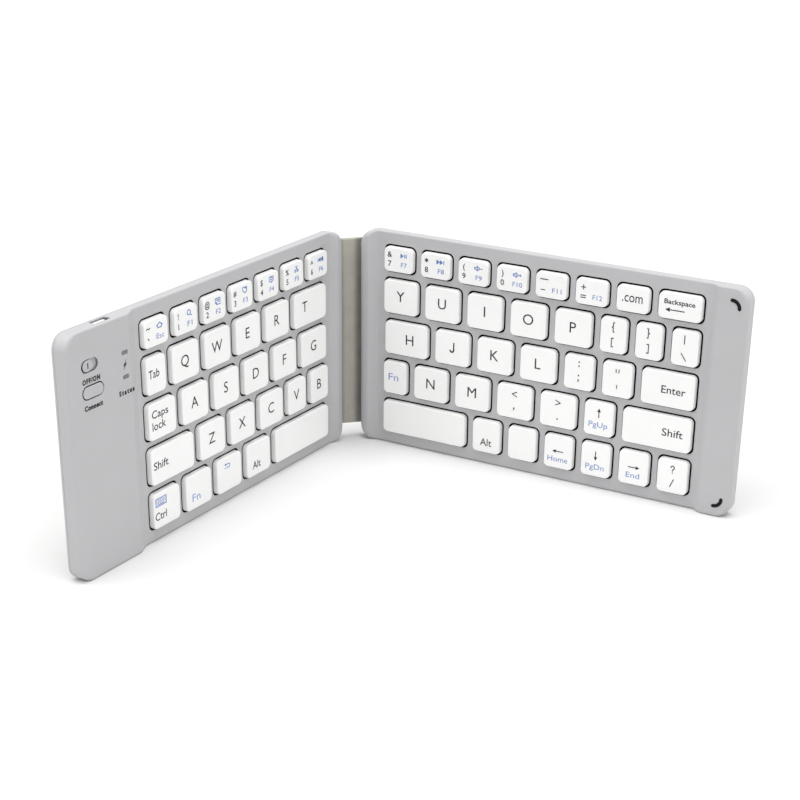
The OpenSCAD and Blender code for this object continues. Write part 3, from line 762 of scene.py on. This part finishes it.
signs = {
    "left": arrowSign(1.9, -1, 0), "right": arrowSign(1.9, 1, 0), "back": arrowSign(3.3, -1, 0, 0.7),
    "up": arrowSign(1.5, 0, 1), "down": arrowSign(1.5, 0, -1),
    "jay": [[(0.75, 1.75), (0.75, -1.0), (0.55, -1.5), (0.1, -1.75), (-0.4, -1.65), (-0.75, -1.2)]],
    "~": [[(-0.9, -0.1), (-0.45, 0.15), (0.45, -0.15), (0.9, 0.1)]], "`": [[(-0.3, 0.3), (0.2, -0.3)]],
    "^": [[(-0.6, -0.5), (0, 0.5), (0.6, -0.5)]],
    "*": [[(0.65 * math.cos(t), 0.65 * math.sin(t)), (-0.65 * math.cos(t), -0.65 * math.sin(t))]
          for t in np.radians((90, 30, -30))],
    "_": [[(-1.4, 0), (1.4, 0)]], "-": [[(-0.7, 0), (0.7, 0)]],
    "+": [[(-0.75, 0), (0.75, 0)], [(0, -0.75), (0, 0.75)]],
    "=": [[(-0.85, 0.4), (0.85, 0.4)], [(-0.85, -0.4), (0.85, -0.4)]],
    "[": [[(0.35, 1.6), (-0.3, 1.6), (-0.3, -1.6), (0.35, -1.6)]],
    "{": [[(0.5, 1.8), (0.1, 1.6), (0.1, 0.3), (-0.35, 0), (0.1, -0.3), (0.1, -1.6), (0.5, -1.8)]],
    "|": [[(0, -1.5), (0, 1.5)]], "\\": [[(-0.9, 1.25), (0.9, -1.25)]], "/": [[(-0.6, -1.45), (0.6, 1.45)]],
    ":": [*dot(0, 0.8), *dot(0, -0.8)],
    ";": [*dot(0, 1.1), *dot(0, -0.65), [(0.05, -0.65), (-0.15, -1.2)]],
    "\"": [[(-0.6, 0.6), (-0.5, -0.5)], [(0.6, 0.6), (0.5, -0.5)]],
    "'": [[(0, 0.6), (0, -0.5)]],
    "<": [[(0.9, 0.9), (-0.9, 0), (0.9, -0.9)]],
    ",": [*dot(0, 0.3), [(0.05, 0.3), (-0.15, -0.35)]],
    ".": [*dot(0, 0)],
    "?": [[*ringPath(0, 0.75, 0.65, 180, -50, 10).tolist(), (0, -0.15), (0, -0.55)],
          [(0, -1.35), (0, -1.25)]],
}
for left, right in ("[]", "{}", "<>"):
    signs[right] = [[(-x, y) for x, y in path] for path in signs[left]]

keyPlaces = {
    "letterZ": 0.45, "letterH": 3.95, "signX": -3.75, "signZ": (2.0, -1.55), "signH": 2.05,
    "icon": (2.2, 1.95), "label": (2.4, -1.6), "labelH": 1.75, "labelW": 1.3,  # width of a letter
    "arrowX": -0.1, "arrowH": 2.1,
}


def letter(text, x=0.0, z=keyPlaces["letterZ"]):
    return [(text, x, z, keyPlaces["letterH"])]


def pair(upper, lower, x, zUpper, zLower):
    return [(upper, x, zUpper), (lower, x, zLower)]


def label(text, width):
    return [(text, *keyPlaces["label"], keyPlaces["labelH"], 2, width)]


def numberKey(upper, lower, icon, name):
    # Two signs on its left, and in blue an icon above a label on its right
    marks = [(sign, keyPlaces["signX"], z, 0 if sign in signs else keyPlaces["signH"])
             for sign, z in zip((upper, lower), keyPlaces["signZ"])]
    return marks + [(icon, *keyPlaces["icon"], 0, 2), *label(name, keyPlaces["labelW"] * len(name))]


def arrow(way, z, name, nameZ, width):
    return [(way, 0, z), (name, keyPlaces["arrowX"], nameZ, keyPlaces["arrowH"], 2, width)]


legends = {
    "left_number_row": [numberKey(*key) for key in (
        ("~", "`", "home", "Esc"), ("!", "1", "find", "F1"), ("@", "2", "page", "F2"),
        ("#", "3", "copy", "F3"), ("$", "4", "paste", "F4"), ("%", "5", "cut", "F5"),
        ("^", "6", "previous", "F6"))],
    "right_number_row": [
        numberKey("&", "7", "play", "F7"), numberKey("*", "8", "next", "F8"),
        numberKey("(", "9", "quieter", "F9"), numberKey(")", "0", "louder", "F10"),
        [("_", -2.8, 2.2), ("-", -3.1, -1.75), *label("F11", 3.7)],
        [("+", -3.1, 1.7), ("=", -3.1, -1.75), *label("F12", 3.7)], [(".com", -0.1, 0.8, 3.6, 1, 7.8)]],
    "key_backspace": [[("Backspace", -0.15, 1.65, 1.7, 1, 11.5), ("back", -1.6, -1.35)]],
    "key_tab": [[("Tab", -0.8, 0.6, 2.9, 1, 5.6)]],
    "key_caps_lock": [[("Caps", -0.9, 2.6, 2.7, 1, 8.7), ("lock", -1.6, -1.6, 2.9, 1, 7.2)]],
    "key_left_shift": [[("Shift", -6.1, 0.4, 2.8, 1, 7.9)]],
    "left_modifiers": [[("board", -2.8, 3.2, 0, 2), ("Ctrl", -3.1, -2.0, 2.8, 1, 6.2)],
                       [("Fn", -1.3, -2.2, 2.8, 2, 4.5)], [("hook", -0.8, 3.2, 0, 2)],
                       [("Alt", -1.0, -2.3, 2.8, 1, 4.9)]],
    "key_enter": [[("Enter", 2.2, 0.0, 2.8, 1, 9.2)]],
    "key_right_shift": [[("Shift", 6.2, 0.2, 2.8, 1, 8.0)]],
    "right_modifiers": [[("Fn", -0.6, 0.3, 2.8, 2, 4.3)], [("Alt", -0.1, -2.3, 2.8, 1, 4.8)]],
    "punctuation_keys": [pair("{", "[", -0.2, 3.2, -2.5), pair("}", "]", -0.2, 3.2, -2.5),
                         pair("|", "\\", -0.3, 3.2, -3.2), pair(":", ";", 0, 3.4, -2.1),
                         pair("\"", "'", 0, 3.4, -2.6), pair("<", ",", 0, 3.2, -2.7),
                         pair(">", ".", 0, 3.2, -3.2), pair("?", "/", 0, 2.7, -2.6)],
    "arrow_keys": [arrow("up", 2.2, "PgUp", -2.2, 7.5), arrow("left", 0.3, "Home", -2.8, 8.2),
                   arrow("down", 1.8, "PgDn", -2.7, 7.4), arrow("right", 0.3, "End", -2.8, 5.3)],
    "key_t": [letter("T", -3.3, 0.8)], "key_j": [[("jay", 0, 0.45, 0, 1, 0.56)]],
    "key_h": [letter("H", 1.6, 0.1)],
}


def addMarks(shape, marks, side, centre, depth, weight=0.0, spread=1.0):
    # Turns each mark's points so that it reads from left to right, and lays it on a depth, which
    # may be a function of u
    for text, x, z, *rest in marks:
        height, ink, width = rest + [0, 1, 0][len(rest):]
        if text in icons:
            points, triangles = strokeMesh(icons[text], lettering["iconStroke"])
        elif text in signs and not height:
            points, triangles = strokeMesh(signs[text], width or lettering["stroke"])
        else:
            heavier = weight if ink == 1 else lettering["blueWeight"]
            points, triangles = wordMesh(text, height, width, heavier, spread)
        u = centre[0] + side * (points[:, 0] + x)
        base = lettering["lift"] + (depth(u) if callable(depth) else depth)
        numbers = addPoints(shape, np.column_stack([u, centre[1] + z + points[:, 1], base + points[:, 2]]))
        addFaces(shape, numbers[triangles], ink - 1)


for node, (side, boxes) in keys.items():
    rows = legends.get(node) or ([letter(node[-1].upper())] if len(node) == len("key_a") else [])
    if not rows:
        continue
    shape = newShape()
    for box, marks in zip(boxes, rows):
        centre = ((box[0] + box[1]) / 2 + side * lettering["standsOff"][side], (box[2] + box[3]) / 2)
        addMarks(shape, marks, side, centre, lambda u, box=box: capTop(u, box))
    makePiece(pieceName(node, "Legend"), shape, side, ["inkDark", "inkBlue"], node,
              sharp=lettering["sharp"], weighted=False)
print("legends made")

# The words and the lightning bolt beside the controls; u from the outer end, z from the switch
panel = {
    "words": (("OFF/ON", 10.6, -4.9, 8.3, 1.3), ("Connect", 11.0, -13.8, 8.7, 1.15),
              ("Status", 27.3, -13.8, 7.6, 1.5)),  # text, u, z, width, spread
    "height": 1.6, "weight": 0.085,
    "strikes": (-0.07, 0.07), "strikeLift": 0.03,  # struck twice, side by side, for bolder strokes
    "bolt": [(0.85, 1.75), (-0.95, -0.4), (-0.2, -0.4), (-0.8, -1.75), (1.0, 0.45), (0.2, 0.45)],
    "boltAt": (0.3, -4.6), "boltRelief": 0.02,  # from the lights' middle, and its half thickness
}
shape = newShape()
for text, inset, drop, width, spread in panel["words"]:
    for shift in panel["strikes"]:
        centre = (halfWidth - inset + shift, switchZ + drop)
        addMarks(shape, [(text, 0, 0, panel["height"], 1, width)], -1, centre,
                 shell["ridge"] + panel["strikeLift"] * shift, panel["weight"], spread)
bolt, relief = panel["bolt"], panel["boltRelief"]
centre = (halfWidth - controls["lightInset"] + panel["boltAt"][0], switchZ + panel["boltAt"][1])
for points in (bolt[:3] + bolt[5:], bolt[2:]):
    outline = np.array([(centre[0] - x, centre[1] + y) for x, y in points])
    addPrism(shape, outline, shell["ridge"] - relief, shell["ridge"] + relief)
makePiece("panelLabels", shape, -1, ["inkDark"], "left_half", sharp=lettering["sharp"],
          weighted=False)


# Controls and bumpers

knob = {
    "length": 4.8, "height": 3.8, "top": 6.78, "roundR": 0.16, "back": 0.65,  # back from the slot's end
    "rib": (0.34, 2.0), "ribR": 0.15, "ribRelief": 0.1,
    "plate": 5.95, "plateThick": 0.5, "plateR": 1, "plateWider": (0.2, 0.6),
}
button = {"foot": 5.1, "top": 7.02, "roundR": 0.2}


def pillShape(centre, length, height, foot, top, roundR, turns=6):
    # Loops of a pill outline up from its foot and round its upper edge; the wall inside its
    #  opening is painted shade, black
    shape = newShape()
    loops = [atDepth(centredRect(centre, length, height, height / 2), foot)]
    for turn in np.linspace(0, quarter, turns):
        flat = centredRect(centre, length, height, height / 2, roundR * (1 - math.cos(turn)))
        loops.append(atDepth(flat, top - roundR * (1 - math.sin(turn))))
    addTube(shape, loops, [1] + [0] * (len(loops) - 2))
    return shape


# The knob with its rib, on a plate that closes the slot wherever the knob is; the rib is painted shade,
# black, for the dark line of a groove
length, height, plate, top = (knob[k] for k in ("length", "height", "plate", "top"))
middle = (endU - knob["back"] - length / 2, switchZ)
shape = pillShape(middle, length, height, plate, top, knob["roundR"])
rib = centredRect(middle, *knob["rib"], knob["ribR"], steps=3)
# the rib takes painted shade, black
addPrism(shape, rib, top - knob["ribRelief"], top + knob["ribRelief"], 1)
longer, higher = knob["plateWider"]
reach = length + 2 * (controls["slotL"] - length) + longer
flat = centredRect(middle, reach, height + higher, knob["plateR"])
addPrism(shape, flat, plate - knob["plateThick"], plate)
makePiece("switchKnob", shape, -1, ["shell", "well"], "power_switch", ["power_switch"])
shape = pillShape(buttonMiddle, controls["buttonL"], controls["height"], **button)
makePiece("connectButton", shape, -1, ["shell", "well"], "connect_button",
          ["connect_button"])

socket = {
    "inset": 19.8, "depth": 3.75, "width": 7.6, "thick": 2.7, "cornerR": 0.85, "sheet": 0.28,
    "length": 5.2, "sink": 0.2, "dark": 0.7, "deep": 4.4,
    "tongue": (5.2, 1.1), "tongueR": 0.12, "tongueSink": 0.1, "tongueShift": 0.45, "tongueRoot": 0.1,
    "clearW": 0.15, "clearT": 0.1, "mouthR": 0.9, "mouthFrom": -3, "mouthTo": 1,  # its hole in the frame
}
width, thick, sheet, deep = (socket[k] for k in ("width", "thick", "sheet", "deep"))
middle = (halfWidth - socket["inset"], socket["depth"])
flat = centredRect(middle, width + 2 * socket["clearW"], thick + 2 * socket["clearT"], socket["mouthR"])
mouth = newShape()
for ring in addLoops(mouth, [atHeight(flat, halfHeight + socket[end]) for end in ("mouthFrom", "mouthTo")]):
    fillBetween(mouth, (ring, flat))
cutAway(frames[-1], mouth, -1)

# The shell bent in at its mouth, in its own colour down to where it is painted shade, black, and the tongue
# inside it
shape = newShape()
face = halfHeight - socket["sink"]
levels = ((0, socket["length"]), (0, 0), (sheet, 0), (sheet, socket["dark"]), (sheet, deep))
loops = [atHeight(centredRect(middle, width, thick, socket["cornerR"], inset), face - drop)
         for inset, drop in levels]
# deeper than dark the shell's walls and its back end are painted shade
addTube(shape, loops, [0, 0, 0, 1], (0, 1))
flat = centredRect((middle[0] + socket["tongueShift"], middle[1]), *socket["tongue"], socket["tongueR"],
                   steps=2)
drops = (deep - socket["tongueRoot"], socket["tongueSink"])
addTube(shape, [atHeight(flat, face - drop) for drop in drops], [2], (2, 2))
makePiece("socketShell", shape, -1, ["steel", "well", "tongue"], "left_half", ["charging_socket"])

bumper = {
    "inset": 7.5, "drop": 0.5, "radius": 2.8, "width": 1.3, "seat": 6.3, "top": 7.25,
    "tail": 16, "tailPoints": 5,  # degrees past the quarter circle, at both ends
    "middle": (8, 82, 12),  # degrees from and to, and how many points
    "taper": 13.3, "tip": 0.0004,  # degrees over which it is drawn in, and the least share left
    "squareness": 0.7, "crown": 0.8, "foot": 0.3, "around": 16,  # three powers that shape the section
    "sharp": 60,
}
shape = newShape()
for up in (1, -1):
    # A rounded section carried along a quarter circle and a little past it, where it is drawn in
    # to a point
    tail, count = bumper["tail"], bumper["tailPoints"]
    turn = np.radians(np.r_[np.linspace(-tail, 0, count), np.linspace(*bumper["middle"]),
                            np.linspace(90, 90 + tail, count)])
    end = np.clip(np.maximum(-turn, turn - quarter) / math.radians(bumper["taper"]), 0, 1)
    share = np.sqrt(np.clip(1 - end ** 2, bumper["tip"], 1))
    around = np.linspace(0, 2 * math.pi, bumper["around"] + 1)[:-1]
    across = np.sign(np.cos(around)) * np.abs(np.cos(around)) ** bumper["squareness"]
    rounded = np.abs(np.sin(around))
    rise = np.where(np.sin(around) >= 0, rounded ** bumper["crown"] * (bumper["top"] - shell["ridge"]),
                    rounded ** bumper["foot"] * (bumper["seat"] - shell["ridge"]))
    r = bumper["radius"] + (bumper["width"] / 2 * share)[:, None] * across[None, :]
    u = halfWidth - bumper["inset"] + r * np.cos(turn)[:, None]
    z = bumper["inset"] - bumper["drop"] - r * np.sin(turn)[:, None]
    z = halfHeight - z if up > 0 else z
    d = shell["ridge"] + rise[None, :] * share[:, None]
    addTube(shape, np.stack([u, z, d], axis=2))
makePiece("bumpers", shape, 1, ["rubber"], "right_half", ["rubber_bumpers"], bumper["sharp"], False)
print("controls and bumpers made")


# Leather: one sheet for each half, from its outer end round the fold to the middle of the spine

leather = {
    "thick": 0.6, "end": 4.85, "edge": 4.8, "cornerR": 2.0, "bendLength": 0.75, "rimR": 0.2,
    "cornerSteps": 9, "backSteps": 40, "bendSteps": 9, "spineSteps": 8, "rimSteps": 7, "rows": 10,
    "nearFold": (1.4, 0.7, 0.0), "bendGap": 0.02,  # points on the back beside the bend
    "blendReach": 0.6, "sharp": 50,
}


def leatherSheet(side, name):
    # The middle line runs down the half's back, round an arc at the fold line and along the spine;
    # each of its points carries a thin closed section whose ends are rounded
    c, s = math.cos(fold["angle"]), math.sin(fold["angle"])
    outward, normal = np.array([c, -s]), np.array([s, c])
    line = np.array([fold["lineX"], fold["lineY"]])
    endU, cornerR = outerEnd(side) - leather["end"], leather["cornerR"]
    corner = cornerR * (1 - np.cos(np.linspace(0, quarter, leather["cornerSteps"])))
    back = np.linspace(endU - cornerR, fold["gap"], leather["backSteps"])[1:-1]
    along = np.r_[endU - corner, back, leather["nearFold"]] + fold["gap"]
    length = leather["bendLength"]
    radius = length / math.tan(fold["angle"] / 2)
    along = along[along > length + leather["bendGap"]]
    turn = np.linspace(quarter - fold["angle"], quarter, leather["bendSteps"])
    bend = np.stack([np.cos(turn), np.sin(turn)], axis=1)
    spineX = np.linspace(line[0] - length, 0, leather["spineSteps"])[1:]
    path = np.concatenate([line + along[:, None] * outward,
                           line + np.array([-length, -radius]) + radius * bend,
                           np.column_stack([spineX, np.full(len(spineX), line[1])])])
    normals = np.concatenate([np.tile(normal, (len(along), 1)), bend, np.tile([0.0, 1.0], (len(spineX), 1))])
    taper = np.zeros(len(path))
    reach = np.clip(along - fold["gap"] - (endU - cornerR), 0, cornerR)
    taper[:len(along)] = cornerR - np.sqrt(np.clip(cornerR ** 2 - reach ** 2, 0, None))
    low, high = leather["edge"] + taper, halfHeight - leather["edge"] - taper
    rim, thick, count = leather["rimR"], leather["thick"] / 2, leather["rows"]
    turn = np.linspace(-quarter, quarter, leather["rimSteps"])
    up, out = np.cos(turn), np.sin(turn)
    rows = np.linspace(0, 1, count + 2)[1:-1]
    # section: up the outer face, round the upper rim, down the inner face, round the lower rim
    zs = np.concatenate([low[:, None] + rim + rows * (high - low - 2 * rim)[:, None],
                         (high - rim)[:, None] + rim * up[::-1],
                         (high - rim)[:, None] - rows * (high - low - 2 * rim)[:, None],
                         (low + rim)[:, None] - rim * up], axis=1)
    offsets = np.r_[np.ones(count), out[::-1], -np.ones(count), out] * thick
    x = path[:, :1] + normals[:, :1] * offsets
    y = path[:, 1:] + normals[:, 1:] * offsets
    shape = newShape()
    addTube(shape, np.stack([side * x, y, zs], axis=2) * mm)
    piece = makePiece(name + "Leather", shape, 0, ["leather"], None, [name + "_leather"],
                      leather["sharp"], False)
    if side > 0:
        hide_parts("spine_leather")
    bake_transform(piece)


for side, name in halves:
    leatherSheet(side, name)

lining = {
    "half": 6.3, "edge": 4.9, "from": 0.02, "thick": 0.42, "feather": 1.2, "least": 0.04, "steps": 25,
    "endRun": 0.25, "endShare": 0.3,  # thinner towards its upper and lower end
    "hub": 0.1, "sharp": 50,
}
across = np.linspace(-lining["half"], lining["half"], lining["steps"])
bulge = np.clip((lining["half"] - np.abs(across)) / lining["feather"], 0, 1)
front = lining["thick"] * np.sqrt(1 - (1 - bulge) ** 2) + lining["least"]
base = fold["lineY"] - leather["thick"] / 2 - lining["from"]
sectionX = np.r_[across, across[::-1]]
sectionY = np.r_[np.full(lining["steps"], base), base - front[::-1]]
edge, run, thin = lining["edge"], lining["endRun"], lining["endShare"]
levels = [(edge, thin), (edge + run, 1), (halfHeight - edge - run, 1), (halfHeight - edge, thin)]
shape = newShape()
rings = addLoops(shape, [atDepth(np.column_stack([sectionX, base + (sectionY - base) * share]), z) * mm
                         for z, share in levels])
for ring, (z, share) in ((rings[0], levels[0]), (rings[-1], levels[-1])):
    addFan(shape, ring, np.array([0, base - lining["hub"], z]) * mm)
liningPiece = makePiece("spineLining", shape, 0, ["lining"], "spine", ["spine_lining"],
                        lining["sharp"], False)
print("leather made")


# CAD nodes that stay as they are get their finish

finishes = {
    "left_base_plate": "steel", "right_base_plate": "steel",
    "left_dome_sheet": "rubber", "right_dome_sheet": "rubber", "battery": "foil",
    "control_board": "board", "status_lights": "lightGuide", "flex_cable": "film",
}
for node, finish in finishes.items():
    mesh = frame["nodes"][node].data
    mesh.materials.clear()
    mesh.materials.append(materials[finish])
print("inner parts finished:", len(finishes))


# Floor, light and camera

stage = {"size": 30.0, "colour": (0.78, 0.78, 0.78), "roughness": 0.9, "specular": 0.1, "sky": 0.34}
softboxes = {
    "ceilingBox": {"from": (0, 0, 1.0), "power": 1.5, "angle": 50},
    "backBox": {"from": (-0.5, 0.4, 1.0), "power": 0.37, "angle": 40},
    "frontBox": {"from": (0.22, -0.5, 0.95), "power": 1.1, "angle": 60},
    "leftBox": {"from": (-0.8, -0.2, 0.8), "power": 0.88, "angle": 50},
    "rightBox": {"from": (1.0, -0.45, 0.35), "power": 0.36, "angle": 50},
}
bpy.ops.mesh.primitive_plane_add(size=stage["size"], location=(0, 0, 0))
floor = bpy.context.object
floor.name = "floor"
paint, tree, shader = newMaterial("floorPaint")
feed(tree, shader, {"Base Color": (*stage["colour"], 1), "Roughness": stage["roughness"],
                    "Specular IOR Level": stage["specular"]})
floor.data.materials.append(paint)

# The sky is white where the camera or a reflection sees it, and dimmer as a light
world = bpy.data.worlds.new("studio")
bpy.context.scene.world = world
world.use_nodes = True
tree = world.node_tree
ray = addNode(tree, "LightPath").outputs
seen = addNode(tree, "Math", {0: ray["Is Camera Ray"], 1: ray["Is Glossy Ray"]}, operation="MAXIMUM")
glow = addNode(tree, "MapRange", {"Value": seen.outputs["Value"], "To Min": stage["sky"], "To Max": 1.0})
feed(tree, tree.nodes["Background"], {"Color": (1, 1, 1, 1), "Strength": glow.outputs["Result"]})

for name, box in softboxes.items():
    lamp = bpy.data.lights.new(name, "SUN")
    lamp.energy = box["power"]
    lamp.angle = math.radians(box["angle"])
    softbox = bpy.data.objects.new(name, lamp)
    softbox.rotation_euler = Vector(box["from"]).to_track_quat("Z", "Y").to_euler()
    bpy.context.scene.collection.objects.link(softbox)

view = {
    "focal": 1706.0, "elevation": 24.905, "roll": 0.740, "yaw": 14.861,  # focal in pixels of the frame
    "at": (-142.24, -569.975, 253.03), "centre": (405.03, 535.58), "frame": 800, "sensor": 36,
    "clip": (0.01, 100),
}
el, roll, yaw = (math.radians(view[k]) for k in ("elevation", "roll", "yaw"))
forward = Vector((math.sin(yaw) * math.cos(el), math.cos(yaw) * math.cos(el), -math.sin(el)))
level = Vector((math.cos(yaw), -math.sin(yaw), 0))
upward = level.cross(forward)
right = math.cos(roll) * level + math.sin(roll) * upward
top = math.cos(roll) * upward - math.sin(roll) * level
cameraData = bpy.data.cameras.new("camera")
cameraData.sensor_width = view["sensor"]
cameraData.lens = view["focal"] / view["frame"] * cameraData.sensor_width
cameraData.shift_x = (view["frame"] / 2 - view["centre"][0]) / view["frame"]
cameraData.shift_y = (view["centre"][1] - view["frame"] / 2) / view["frame"]
cameraData.clip_start, cameraData.clip_end = view["clip"]
camera = bpy.data.objects.new("camera", cameraData)
camera.matrix_world = Matrix((right, top, -forward)).transposed().to_4x4()
camera.location = Vector(view["at"]) * mm
bpy.context.scene.collection.objects.link(camera)
bpy.context.scene.camera = camera
bpy.context.scene.view_settings.view_transform = "Standard"
print("stage set")
